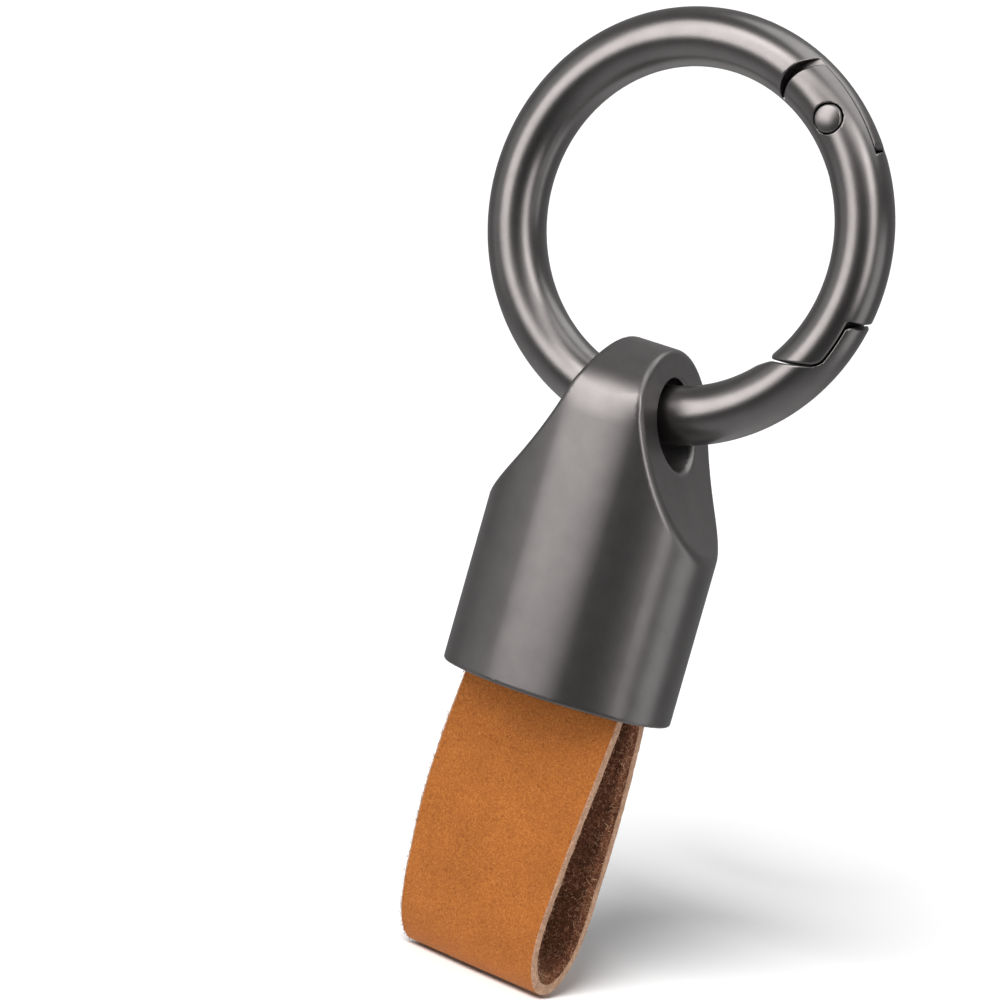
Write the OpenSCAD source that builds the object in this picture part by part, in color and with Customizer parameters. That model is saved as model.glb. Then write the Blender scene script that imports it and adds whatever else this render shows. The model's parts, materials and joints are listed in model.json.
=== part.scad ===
// Key fob on a spring-gate ring. A round ring of thick wire has one arc that hinges
// inwards as a gate. The ring passes through the eye of a cast metal cap, and the cap
// clamps both ends of a folded leather strap.
// Millimetres. The origin is the centre of the ring, +Z is up, the ring lies in the XZ
// plane, and the fob hangs below it on the Z axis. The back of the cap faces +Y.

/* [Ring] */
// Inside diameter of the ring
ring_bore = 25; // [24.5:0.5:26]
// Diameter of the ring's round wire
wire_d = 4.7; // [4.5:0.1:4.8]
// Angle of the hinge pivot round the ring, from +X towards +Z
pivot_angle = 49; // [46:1:52]
// Radius of the gate's rounded fork end, about the pivot
fork_r = 4.4; // [4.2:0.1:4.5]
// Distance from the pivot to the gate's free end
gate_reach = 19; // [18.8:0.1:19.1]
// Angle at which the nose lip over the gate's free end stops
lip_angle = -13.9; // [-15:0.1:-13]
// Thickness of the hinge tongue between the gate's two cheeks
tongue_t = 1.8; // [1.6:0.1:1.9]

/* [Cap] */
// Width of the cap, along X
cap_w = 19.3; // [18.8:0.1:19.8]
// Depth of the cap, along Y
cap_d = 14; // [13.6:0.1:14.6]
// Height of the cap, from its open rim to the top of its eye
cap_h = 28.7; // [28.3:0.1:29.1]
// Height of the straight sleeve, from the rim to the two shoulders
shoulder_h = 13.6; // [13.1:0.1:14.1]
// Radius of the hollow scoop that narrows each side towards the eye
scoop_r = 27.2; // [27:0.1:27.4]
// Diameter of the eye that the ring runs through
eye_d = 6.9; // [6.8:0.1:7.2]
// Depth of the eye's centre below the centre of the ring
eye_drop = 15.2; // [15.1:0.05:15.3]

/* [Strap] */
// Width of the leather strap
strap_w = 14; // [12:0.5:14]
// Thickness of the leather
strap_t = 1.5; // [1.3:0.1:1.6]
// Outer radius of the rounded bottom of the loop
loop_r = 4.5; // [4.2:0.1:4.8]
// Length of the loop that shows below the cap
loop_drop = 23; // [21:0.1:30]

/* [Hidden] */
$fn = 96;
gunmetal = [0.33, 0.32, 0.31];
steel = [0.62, 0.62, 0.63];
tan_leather = [0.72, 0.41, 0.17];
far = 60;

// ring and its gate
wire_r = wire_d / 2;
ring_r = ring_bore / 2 + wire_r;
pivot = ring_r * [cos(pivot_angle), sin(pivot_angle)];
gate_low_angle = -60;
gap = 0.12;
// the frame's cut behind the fork: a tighter arc, set back, so the gap is a crescent
crescent_r = 3.3;
crescent_set_back = 1.75;
crescent_angle = pivot_angle + crescent_set_back / ring_r * 180 / PI;
crescent_centre = ring_r * [cos(crescent_angle), sin(crescent_angle)];
tongue_root_angle = crescent_angle + 17;
tongue_r = 4;
slot_r = 4.5;
slot_gap = 0.06;
latch_gap = 0.16;
lip_inner_r = ring_r + 1.45;
notch_angle = lip_angle + 2.3;

// hinge rivet
shank_r = 0.8;
head_r = 1.2;
head_seat = 1.6;
head_rise = 0.07;
head_dome_r = 4;
running_gap = 0.05;
seat_gap = 0.1;

// spring and plunger, in a blind bore down the gate
spring_angle = pivot_angle - 107;
flat_reach = 3.5;
plunger_r = 0.6;
plunger_start = flat_reach + plunger_r + 0.03;
plunger_len = 2.5;
bore_r = 0.8;
bore_end = 10.6;
spring_wire_r = 0.12;
spring_mean_r = 0.6;
spring_turns = 7;
spring_start = plunger_start + plunger_len + spring_wire_r + 0.05;
spring_len = bore_end - spring_wire_r - 0.05 - spring_start;
coil_steps = 16;
coil_sides = 8;

// cap
eye_z = -eye_drop;
cap_top_z = eye_z + 5.7;
rim_z = cap_top_z - cap_h;
shoulder_z = rim_z + shoulder_h;
side_r = 5.9;
crown_h = 6.4;
crown_side_r = 5.9;
scoop_up = 19;
scoop_x = cap_w / 2 + sqrt(scoop_r ^ 2 - scoop_up ^ 2);

// strap, pocket and clamp
rim_half = 2.55;
pocket_gap = 0.12;
pocket_w = strap_w + 0.5;
pocket_top_z = rim_z + 13.1;
strap_end_z = pocket_top_z - 0.3;
pinch_z = rim_z + 4.3;
inner_half = rim_half - strap_t;
ply_gap = 0.1;
back_ply_y = -inner_half + ply_gap + strap_t;
plate_t = 1;
plate_y = back_ply_y + 0.06;
plate_w = 11;
plate_h = 6.6;
plate_mid_z = rim_z + 8.3;
pocket_back_y = plate_y + plate_t + 0.1;
screw_r = 1.5;
screw_gap = 0.04;
screw_x = 3.4;
screw_y = plate_y + plate_t + 0.02;
screw_len = 4.4;
socket_r = 0.87;
socket_depth = 1.6;
loop_z = rim_z - loop_drop + loop_r;

// ---- shared shapes ----

// lays a flat XY design into the ring's plane: X stays, Y becomes Z
module in_ring_plane() { rotate([90, 0, 0]) children(); }

// lays a flat XY design into the YZ plane, extruded evenly about X = 0
module across_x(width) {
    rotate([90, 0, 90]) linear_extrude(height = width, center = true) children();
}

module at_pivot() { translate(pivot) children(); }

// the whole wire ring, flat in XY
module wire() {
    rotate_extrude() translate([ring_r, 0]) circle(r = wire_r);
}

module through(t = 3 * wire_r) { linear_extrude(height = t, center = true) children(); }

module sector(from, to) {
    mid = (from + to) / 2;
    polygon([[0, 0], far * [cos(from), sin(from)], far * [cos(mid), sin(mid)], far * [cos(to), sin(to)]]);
}

// the part of the ring's plane outside a radius, between the gate's low end and an angle
module outer_band(r, to) {
    difference() {
        intersection() {
            sector(gate_low_angle, to);
            circle(r = ring_r + 2 * wire_r);
        }
        circle(r = r);
    }
}

// an oval of four arcs that meet smoothly
module four_arc_oval(w, d, end_r) {
    c = w / 2 - end_r;
    k = d / 2 - end_r;
    h = (c ^ 2 - k ^ 2) / (2 * k);
    broad_r = d / 2 + h;
    seam_x = c * broad_r / (broad_r - end_r);
    intersection() {
        square([2 * seam_x, 2 * d], center = true);
        translate([0, -h]) circle(r = broad_r);
        translate([0, h]) circle(r = broad_r);
    }
    for (side = [-1, 1]) translate([side * c, 0]) circle(r = end_r);
}

// ---- ring ----

// what the frame leaves open for the gate: crescent at the hinge, arc at the latch
module gate_window() {
    difference() {
        intersection() {
            union() {
                sector(gate_low_angle, crescent_angle);
                translate(crescent_centre) circle(r = crescent_r);
            }
            at_pivot() circle(r = gate_reach + latch_gap);
        }
        outer_band(lip_inner_r, lip_angle);
    }
}

// hinge tongue: a disc about the pivot with a flat that the plunger bears on
module tongue_outline() {
    sector(pivot_angle, tongue_root_angle);
    difference() {
        at_pivot() circle(r = tongue_r);
        at_pivot() rotate(spring_angle) translate([flat_reach, -tongue_r]) square(2 * tongue_r);
    }
}

module ring_frame() {
    color(gunmetal) in_ring_plane() difference() {
        union() {
            difference() {
                wire();
                through() gate_window();
            }
            intersection() {
                wire();
                through(tongue_t) tongue_outline();
            }
        }
        at_pivot() cylinder(r = shank_r + running_gap, h = far, center = true);
    }
}

module gate_outline() {
    difference() {
        intersection() {
            union() {
                sector(gate_low_angle, pivot_angle);
                at_pivot() circle(r = fork_r);
            }
            at_pivot() circle(r = gate_reach);
        }
        outer_band(lip_inner_r - gap, notch_angle);
    }
}

module ring_gate() {
    color(gunmetal) in_ring_plane() difference() {
        intersection() {
            wire();
            through() gate_outline();
        }
        through(tongue_t + 2 * slot_gap) at_pivot() circle(r = slot_r);
        at_pivot() cylinder(r = shank_r + 0.02, h = far, center = true);
        for (side = [0, 1]) mirror([0, 0, side])
            at_pivot() translate([0, 0, head_seat - 0.02]) cylinder(r = head_r + seat_gap, h = wire_d);
        at_pivot() rotate([0, 0, spring_angle]) rotate([0, 90, 0]) cylinder(r = bore_r, h = bore_end);
    }
}

module hinge_rivet() {
    head_top = wire_r + head_rise;
    color(steel) in_ring_plane() at_pivot() {
        cylinder(r = shank_r, h = 2 * head_seat + 0.2, center = true);
        for (side = [0, 1]) mirror([0, 0, side]) intersection() {
            translate([0, 0, head_seat]) cylinder(r = head_r, h = wire_d);
            translate([0, 0, head_top - head_dome_r]) sphere(r = head_dome_r);
        }
    }
}

// a point on the coil spring's skin: t runs along the coil, a runs round its wire
function coil_skin(t, a) =
    let (turn = 360 * spring_turns * t, r = spring_mean_r + spring_wire_r * cos(a))
    [spring_start + spring_len * t + spring_wire_r * sin(a), r * cos(turn), r * sin(turn)];

module gate_spring() {
    rings = spring_turns * coil_steps;
    points = [for (i = [0 : rings], j = [0 : coil_sides - 1]) coil_skin(i / rings, 360 * j / coil_sides)];
    sides = [for (i = [0 : rings - 1], j = [0 : coil_sides - 1])
        let (a = i * coil_sides + j, b = i * coil_sides + (j + 1) % coil_sides)
        [a, b, b + coil_sides, a + coil_sides]];
    first_end = [for (j = [coil_sides - 1 : -1 : 0]) j];
    last_end = [for (j = [0 : coil_sides - 1]) rings * coil_sides + j];
    color(steel) in_ring_plane() at_pivot() rotate([0, 0, spring_angle])
        polyhedron(points = points, faces = concat(sides, [first_end, last_end]), convexity = 10);
}

module spring_plunger() {
    color(steel) in_ring_plane() at_pivot() rotate([0, 0, spring_angle]) {
        translate([plunger_start, 0, 0]) sphere(r = plunger_r);
        translate([plunger_start, 0, 0]) rotate([0, 90, 0]) cylinder(r = plunger_r, h = plunger_len);
    }
}

// ---- fob ----

// the cap's outline seen along X: straight sides under a rounded crown
module crown_outline() {
    translate([0, cap_top_z - crown_h]) {
        four_arc_oval(cap_d, 2 * crown_h, crown_side_r);
        translate([-cap_d / 2, -cap_h]) square([cap_d, cap_h]);
    }
}

// the slot that the strap's two plies and the clamp plate go up into
module pocket_outline() {
    front_y = -rim_half - pocket_gap;
    back_y = rim_half + pocket_gap;
    polygon([[front_y, rim_z - 1], [front_y, pocket_top_z], [pocket_back_y, pocket_top_z],
             [pocket_back_y, pinch_z - 0.3], [back_y, rim_z], [back_y, rim_z - 1]]);
}

module cap() {
    color(gunmetal) difference() {
        intersection() {
            translate([0, 0, rim_z]) linear_extrude(height = cap_h) four_arc_oval(cap_w, cap_d, side_r);
            across_x(2 * cap_w) crown_outline();
        }
        for (side = [-1, 1]) translate([side * scoop_x, 0, shoulder_z + scoop_up])
            rotate([90, 0, 0]) cylinder(r = scoop_r, h = 2 * cap_d, center = true, $fn = 180);
        translate([0, 0, eye_z]) rotate([0, 90, 0]) cylinder(d = eye_d, h = 2 * cap_w, center = true);
        across_x(pocket_w) pocket_outline();
        for (side = [-1, 1]) translate([side * screw_x, pocket_back_y - 0.5, plate_mid_z])
            rotate([-90, 0, 0]) cylinder(r = screw_r + screw_gap, h = cap_d);
    }
}

// the loop's rounded bottom, with straight sides up to a given half width at the rim
module loop_outline(half_w, r) {
    rise = rim_z - loop_z;
    reach = sqrt(half_w ^ 2 + rise ^ 2);
    turn = atan(half_w / rise) + acos(r / reach);
    translate([0, loop_z]) {
        circle(r = r);
        polygon([[half_w, rise], [r * sin(turn), r * cos(turn)],
                 [-r * sin(turn), r * cos(turn)], [-half_w, rise]]);
    }
}

// all that lies inside one surface of the strap: round the loop, up the front ply, and up
// the back ply, which leans in above the rim to lie against the front one
module strap_fill(half_w, r, back_y, end_z, width) {
    across_x(width) loop_outline(half_w, r);
    across_x(width) polygon([[0, loop_z], [-half_w, rim_z], [-half_w, end_z],
                             [back_y, end_z], [back_y, pinch_z], [half_w, rim_z]]);
}

module strap() {
    color(tan_leather) difference() {
        strap_fill(rim_half, loop_r, back_ply_y, strap_end_z, strap_w);
        strap_fill(inner_half, loop_r - strap_t, back_ply_y - strap_t, strap_end_z + 1, strap_w + 2);
    }
}

module clamp_plate() {
    color(steel) translate([-plate_w / 2, plate_y, plate_mid_z - plate_h / 2])
        cube([plate_w, plate_t, plate_h]);
}

module grub_screw(side) {
    color(steel) translate([side * screw_x, screw_y, plate_mid_z]) rotate([-90, 0, 0]) difference() {
        cylinder(r = screw_r, h = screw_len);
        translate([0, 0, screw_len - socket_depth]) cylinder(r = socket_r, h = screw_len, $fn = 6);
    }
}

ring_frame();
ring_gate();
hinge_rivet();
gate_spring();
spring_plunger();
cap();
strap();
clamp_plate();
grub_screw(-1);  // grub_screw_left
grub_screw(1);  // grub_screw_right
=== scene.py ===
"""Looks of the key fob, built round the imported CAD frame.

A spring-gate ring, a cast metal cap and a folded leather strap, and the studio round them.
"""

import json
import math

import bpy
import numpy as np
from bpy.props import FloatProperty, FloatVectorProperty, IntProperty, PointerProperty
from mathutils import Matrix, Vector, noise


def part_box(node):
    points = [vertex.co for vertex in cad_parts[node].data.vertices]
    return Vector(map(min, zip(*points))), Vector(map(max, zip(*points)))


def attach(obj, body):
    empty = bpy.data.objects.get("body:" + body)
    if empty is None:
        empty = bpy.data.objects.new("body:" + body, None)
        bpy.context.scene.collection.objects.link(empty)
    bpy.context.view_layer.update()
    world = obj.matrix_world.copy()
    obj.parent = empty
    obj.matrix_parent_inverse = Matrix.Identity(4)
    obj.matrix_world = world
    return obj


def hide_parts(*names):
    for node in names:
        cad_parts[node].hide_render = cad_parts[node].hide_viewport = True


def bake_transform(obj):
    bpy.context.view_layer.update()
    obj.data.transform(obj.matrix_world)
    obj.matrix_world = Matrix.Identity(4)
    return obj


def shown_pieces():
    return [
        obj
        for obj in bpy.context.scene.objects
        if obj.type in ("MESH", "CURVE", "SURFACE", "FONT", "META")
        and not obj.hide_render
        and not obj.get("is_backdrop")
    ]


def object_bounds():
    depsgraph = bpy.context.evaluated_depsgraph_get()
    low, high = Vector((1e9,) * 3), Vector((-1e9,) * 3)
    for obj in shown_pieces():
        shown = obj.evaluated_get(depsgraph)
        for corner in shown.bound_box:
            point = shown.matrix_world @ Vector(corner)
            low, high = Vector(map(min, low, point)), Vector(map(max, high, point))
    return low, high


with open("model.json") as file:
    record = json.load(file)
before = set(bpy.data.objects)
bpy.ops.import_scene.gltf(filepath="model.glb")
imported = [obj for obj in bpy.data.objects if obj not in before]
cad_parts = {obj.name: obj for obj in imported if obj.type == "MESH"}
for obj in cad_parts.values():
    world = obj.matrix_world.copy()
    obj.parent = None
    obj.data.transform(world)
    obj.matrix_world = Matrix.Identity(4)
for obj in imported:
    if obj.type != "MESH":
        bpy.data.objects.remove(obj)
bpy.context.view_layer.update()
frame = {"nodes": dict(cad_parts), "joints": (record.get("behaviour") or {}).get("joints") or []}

MM = 0.001
SHARP = 1e-9  # a rounding too small to see
GRAIN, ROUGH, EDGE = 0, 1, 2  # the strap's smooth side, rough side and cut edges
WHITE, WARM = (1, 1, 1), (1.0, 0.965, 0.955)

bl_info = {
    "name": "Key fob builder",
    "version": (1, 0, 0),
    "blender": (4, 5, 0),
    "location": "View3D > Sidebar > Key Fob",
    "description": "Builds a leather key fob on a spring-gate ring, and the studio round it",
    "category": "Object",
}


# ---- sizes and colours ----


def size(name, description, default):
    return FloatProperty(
        name=name, description=description, default=default, unit="LENGTH", precision=6
    )


def turn(name, description, degrees):
    return FloatProperty(
        name=name, description=description, default=math.radians(degrees), subtype="ANGLE"
    )


def share(name, description, default):
    return FloatProperty(name=name, description=description, default=default)


def colour(name, description, default):
    return FloatVectorProperty(
        name=name, description=description, default=default, size=3, min=0, max=1, subtype="COLOR"
    )


class RingSettings(bpy.types.PropertyGroup):
    crescent_r: size("Crescent radius", "Radius of the cut behind the fork", 3.3 * MM)
    crescent_back: size("Crescent set back", "From the pivot round to the cut's centre", 1.75 * MM)
    fork_r: size("Fork radius", "Of the gate's fork end, about the pivot", 4.4 * MM)
    reach: size("Gate reach", "From the pivot to the gate's free end", 19.0 * MM)
    latch_gap: size("Latch gap", "Slit at the gate's free end", 0.16 * MM)
    lip_inset: size("Lip inset", "From the wire's centreline out to the lip", 1.45 * MM)
    lip_gap: size("Lip gap", "Gap between the lip and the gate", 0.12 * MM)
    latch_lean: share("Latch lean", "Slant of the latch's cuts across the wire", 0.08)
    lip_end: turn("Lip end", "Where the lip stops, round the ring", -13.1)
    notch_end: turn("Notch end", "Where the notch stops, round the ring", -11.6)
    tongue_t: size("Tongue thickness", "Thickness of the hinge tongue", 1.8 * MM)
    tongue_r: size("Tongue radius", "Of the tongue's disc, about the pivot", 4.0 * MM)
    tongue_root: turn("Tongue root", "How far the tongue runs into the frame", 17)
    slot_r: size("Slot radius", "Radius of the slot in the gate's fork", 4.5 * MM)
    slot_gap: size("Slot gap", "Gap between the tongue and each cheek", 0.08 * MM)
    head_r: size("Rivet head radius", "Radius of the rivet's head", 1.14 * MM)
    head_gap: size("Rivet seat gap", "Gap round the rivet's head", 0.08 * MM)
    head_seat: size("Rivet seat height", "Height of the seat above the ring's plane", 1.6 * MM)
    shank_r: size("Rivet shank radius", "Radius of the rivet's shank", 0.8 * MM)
    dome_r: size("Rivet dome radius", "Of the dome on the rivet's head", 4.0 * MM)
    bore_r: size("Spring bore radius", "Of the spring's bore in the gate", 0.8 * MM)
    bore_end: size("Spring bore depth", "From the pivot to the bottom of the bore", 10.6 * MM)
    bore_turn: turn("Spring bore direction", "Direction of the bore", -58)
    edge: size("Edge rounding", "Rounding of the cut edges", 0.13 * MM)
    corner: size("Inner corner rounding", "Rounding of the latch inside the ring", 0.75 * MM)
    fine: size("Fine step", "Mesh step at the hinge and the latch", 0.1 * MM)
    coarse: size("Coarse step", "Mesh step along the plain wire", 0.4 * MM)


class CapSettings(bpy.types.PropertyGroup):
    side_r: size("Side radius", "Radius of the oval's two ends", 5.9 * MM)
    crown_h: size("Crown height", "Height of the rounded crown", 6.4 * MM)
    crown_side_r: size("Crown side radius", "Radius of the crown's two haunches", 5.9 * MM)
    shoulder_h: size("Shoulder height", "Of the straight sleeve above the rim", 13.6 * MM)
    scoop_r: size("Scoop radius", "Of the hollow that narrows each side", 27.2 * MM)
    scoop_up: size("Scoop centre", "Its centre's height above the shoulder", 19.0 * MM)
    eye_r: size("Eye radius", "Radius of the eye", 3.45 * MM)
    edge: size("Edge rounding", "Rounding along the scooped sides", 0.45 * MM)
    shoulder: size("Shoulder rounding", "Rounding at the tip of each shoulder", 0.45 * MM)
    rim: size("Rim rounding", "Rounding of the open rim", 0.25 * MM)
    step: size("Step", "Mesh step", 0.2 * MM)


class StrapSettings(bpy.types.PropertyGroup):
    thickness: size("Thickness", "Thickness of the leather", 1.5 * MM)
    rim_half: size("Half width at the rim", "Half of the loop's depth at the cap", 2.5 * MM)
    belly_half: size("Half width at the belly", "Half of the loop's depth at its widest", 4.5 * MM)
    belly_up: size("Belly height", "Height of the loop's widest place", 5.4 * MM)
    ply_gap: size("Ply gap", "Between the two plies in the cap", 0.1 * MM)
    twist: turn("Twist", "How far the loop's bottom has turned", -13)
    far_side_lag: share("Far side lag", "How much less the left edge turns", -0.2)
    tilt: size("Tilt", "How much lower the left edge hangs", 0.1 * MM)
    lift: size("Lift", "How far the loop's bottom clears the ground", 0.2 * MM)
    edge_round: size("Edge rounding", "Along the smooth side's edges", 0.16 * MM)
    skive_n: size("Skive start", "Where the cut edge starts to slope", 0.02 * MM)
    skive_w: size("Skive width", "How far the slope runs in", 0.5 * MM)
    step: size("Step", "Mesh step", 0.18 * MM)
    grain_depth: size("Grain depth", "Relief of the smooth side", 0.012 * MM)
    suede_depth: size("Suede depth", "Relief of the rough side", 0.11 * MM)
    edge_depth: size("Edge depth", "Relief of the cut edges", 0.045 * MM)
    fibres: IntProperty(name="Fibres", description="How many stand on it", default=9500, min=10)
    fibre_r: size("Fibre radius", "Radius of a fibre at its root", 0.028 * MM)


class LookSettings(bpy.types.PropertyGroup):
    gunmetal_dark: colour("Gunmetal dark", "Darker tone of the plating", (0.27, 0.258, 0.256))
    gunmetal_light: colour("Gunmetal light", "Lighter tone of the plating", (0.3, 0.287, 0.284))
    steel_dark: colour("Steel dark", "Darker tone of the steel", (0.5, 0.5, 0.505))
    steel_light: colour("Steel light", "Lighter tone of the steel", (0.56, 0.56, 0.565))
    # painted shade: the colour that ambient occlusion darkens the metal to in its gaps
    painted_gap_shade: colour("Hollow", "The metal down in its gaps", (0.12, 0.12, 0.12))
    tan_dark: colour("Tan dark", "Smooth side, darkest", (0.3, 0.083, 0.011))
    tan_mid: colour("Tan middle", "Smooth side, usual", (0.425, 0.132, 0.02))
    tan_light: colour("Tan light", "Smooth side, lightest", (0.56, 0.215, 0.048))
    tan_sheen: colour("Tan sheen", "Smooth side's sheen", (1.0, 0.62, 0.34))
    suede_dark: colour("Suede dark", "Rough side, hollows", (0.03, 0.01, 0.005))
    suede_mid: colour("Suede middle", "Rough side, usual", (0.15, 0.054, 0.027))
    suede_light: colour("Suede light", "Rough side, raised fibre", (0.55, 0.29, 0.17))
    edge_dark: colour("Edge dark", "Cut edges, hollows", (0.24, 0.12, 0.065))
    edge_mid: colour("Edge middle", "Cut edges, usual", (0.5, 0.3, 0.195))
    edge_light: colour("Edge light", "Cut edges, raised fibre", (0.8, 0.59, 0.45))
    fibre_dark: colour("Fibre dark", "Darkest loose fibres", (0.14, 0.05, 0.025))
    fibre_mid: colour("Fibre middle", "Usual loose fibres", (0.62, 0.35, 0.21))
    fibre_light: colour("Fibre light", "Palest loose fibres", (0.95, 0.72, 0.52))
    floor: colour("Floor", "The studio floor", (0.9, 0.9, 0.9))


class StageSettings(bpy.types.PropertyGroup):
    azimuth: turn("Azimuth", "Camera's azimuth", 24.92)
    elevation: turn("Elevation", "Camera's elevation", 6.14)
    roll: turn("Roll", "Camera's roll", 15.78)
    distance: size("Distance", "Camera's distance", 0.469)
    aim_right: size("Aim right", "How far right of the ring's centre the camera aims", -0.01475)
    aim_up: size("Aim up", "How far above the ring's centre the camera aims", -0.02142)
    lens: FloatProperty(name="Lens", description="Focal length", default=216, unit="CAMERA")


# ---- shapes as distance fields: metres, negative inside ----


def both(a, b, r=SHARP):
    """What is inside a and inside b, with its outer edge rounded to r."""
    return np.minimum(-r, np.maximum(a, b)) + np.hypot(np.maximum(a + r, 0), np.maximum(b + r, 0))


def either(a, b, r=SHARP):
    """What is inside a or b, with the inner edge between them filled to r."""
    return -both(-a, -b, r)


def cut(a, b, r=SHARP):
    """What is inside a and outside b."""
    return both(a, -b, r)


def ease(t):
    t = np.clip(t, 0, 1)
    return t * t * (3 - 2 * t)


def slope(field, points, h=2e-6):
    """The field's slope at each point."""
    steps = np.eye(3) * h
    return np.stack([field(points + s) - field(points - s) for s in steps], 1) / (2 * h)


CUBE = np.array([(i, j, k) for i in (0, 1) for j in (0, 1) for k in (0, 1)])
CUBE_EDGES = [
    (a, b) for a in range(8) for b in range(a + 1, 8) if np.abs(CUBE[a] - CUBE[b]).sum() == 1
]
MOST_MOVE = 0.3  # of a cell's diagonal, in one step onto the surface
FLATTEST = 0.05  # least square of the slope that a step divides by


def skin(field, axes, place=None):
    """Points, quads and normals of the field's zero surface, found on a grid of any spacing.

    The points are then drawn onto the surface, along the field's slope.
    """
    grid = np.stack(np.meshgrid(*axes, indexing="ij"), -1)
    spots = place(grid) if place else grid
    value = field(spots.reshape(-1, 3)).reshape(grid.shape[:3])
    inside = value < 0
    shape = np.array(inside.shape) - 1
    corner = [tuple(slice(o, o + n) for o, n in zip(c, shape)) for c in CUBE]
    count = sum(inside[c].astype(np.int8) for c in corner)
    active = (count > 0) & (count < 8)
    index = np.full(active.shape, -1, np.int64)
    index[active] = np.arange(active.sum())
    values = np.stack([value[c][active] for c in corner], 1)
    places = np.stack([spots[c][active] for c in corner], 1)
    total, hits = np.zeros((len(values), 3)), np.zeros((len(values), 1))
    for a, b in CUBE_EDGES:
        crossed = ((values[:, a] < 0) != (values[:, b] < 0))[:, None]
        span = values[:, a] - values[:, b]
        t = (values[:, a] / np.where(span == 0, 1, span))[:, None]
        total += crossed * (places[:, a] + np.clip(t, 0, 1) * (places[:, b] - places[:, a]))
        hits += crossed
    points = total / hits
    reach = np.linalg.norm(places[:, 7] - places[:, 0], axis=1)[:, None] * MOST_MOVE
    for _ in range(4):
        g = slope(field, points)
        move = -field(points)[:, None] * g / np.maximum((g * g).sum(1, keepdims=True), FLATTEST)
        points += np.clip(move, -reach, reach)
    quads = []
    for axis in range(3):
        one, two = [k for k in range(3) if k != axis]
        low = [slice(1, -1)] * 3
        low[axis] = slice(0, -1)
        high = list(low)
        high[axis] = slice(1, None)
        change = inside[tuple(low)] != inside[tuple(high)]
        outward = inside[tuple(low)][change]
        at = np.argwhere(change)
        at[:, one] += 1
        at[:, two] += 1
        ring = []
        for da, db in ((-1, -1), (0, -1), (0, 0), (-1, 0)):
            cell = at.copy()
            cell[:, one] += da
            cell[:, two] += db
            ring.append(index[tuple(cell.T)])
        quad = np.stack(ring, 1)
        if axis == 1:
            outward = ~outward
        quad[~outward] = quad[~outward][:, ::-1]
        quads.append(quad)
    quads = np.concatenate(quads)
    g = slope(field, points)
    normals = g / np.linalg.norm(g, axis=1, keepdims=True)
    return points.tolist(), quads.tolist(), normals.tolist()


def spacing(*runs):
    """One axis of a grid from (start, end, step) runs that follow each other."""
    parts = [np.linspace(a, b, max(2, round((b - a) / s) + 1))[:-1] for a, b, s in runs]
    return np.concatenate(parts + [[runs[-1][1]]])


def box_axes(low, high, step, pad):
    """The axes of a grid over a box and a margin round it."""
    return [spacing((low[k] - pad, high[k] + pad, step)) for k in range(3)]


def polar(grid):
    """From angle, radius and height to places in the ring's plane."""
    a, r, y = grid[..., 0], grid[..., 1], grid[..., 2]
    return np.stack([r * np.cos(a), y, r * np.sin(a)], -1)


def make(name, points, faces, normals=None, materials=()):
    """A smooth mesh object from points and faces, with its materials."""
    mesh = bpy.data.meshes.new(name)
    mesh.from_pydata(points, [], faces)
    mesh.update()
    mesh.shade_smooth()
    if normals is not None:
        mesh.normals_split_custom_set_from_vertices(normals)
    for m in materials:
        mesh.materials.append(m)
    obj = bpy.data.objects.new(name, mesh)
    bpy.context.scene.collection.objects.link(obj)
    return obj


def stands_for(obj, node, body):
    """Lets the object replace that CAD node and ride that body."""
    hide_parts(node)
    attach(obj, body)


# ---- ring ----


def joint_place(name):
    return next(j for j in frame["joints"] if j["name"] == name)["pos_m"]


def ring_frame_sizes():
    """The wire's radius, its centreline's radius and the hinge's pivot, from the CAD frame."""
    low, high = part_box("ring_frame")
    wire_r = high.y
    ring_r = -low.x - wire_r
    return wire_r, ring_r, np.array(joint_place("gate_swing"))[[0, 2]]


LEAN_FROM = 0.85  # where the latch's cuts start to lean, in wire radii from the middle
END_LEAN = 1.5  # how much more the ends of the lip and the notch lean
LATCH_FROM = -1.2  # the latch lies between this angle and zero
INNER_FROM, INNER_RUN = 0.55, 0.45  # where the inside's larger rounding grows, in wire radii
LIP_EDGE, LIP_FILL = 0.42 * MM, 0.5 * MM
NOTCH_EDGE, NOTCH_FILL = 0.25 * MM, 0.45 * MM
GATE_CORNER = 0.4 * MM
TONGUE_FLAT = 3.5 * MM  # from the pivot to the flat that the plunger rides on
TONGUE_EDGE, TONGUE_FACE_EDGE = 0.08 * MM, 0.06 * MM
SLOT_EDGE, SEAT_EDGE, BORE_EDGE = 0.08 * MM, 0.1 * MM, 0.05 * MM
HEAD_EDGE, HEAD_UNDER_EDGE = 0.16 * MM, 0.05 * MM
HEAD_PROUD = 0.07 * MM  # how far the rivet's dome stands out of the wire
TONGUE_PLAY, GATE_PLAY, SEAT_PLAY = 0.05 * MM, 0.02 * MM, 0.02 * MM
SHANK_OVERLAP = 0.1 * MM
ACROSS_STEP = 1.2  # mesh step across the wire, in fine steps


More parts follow.
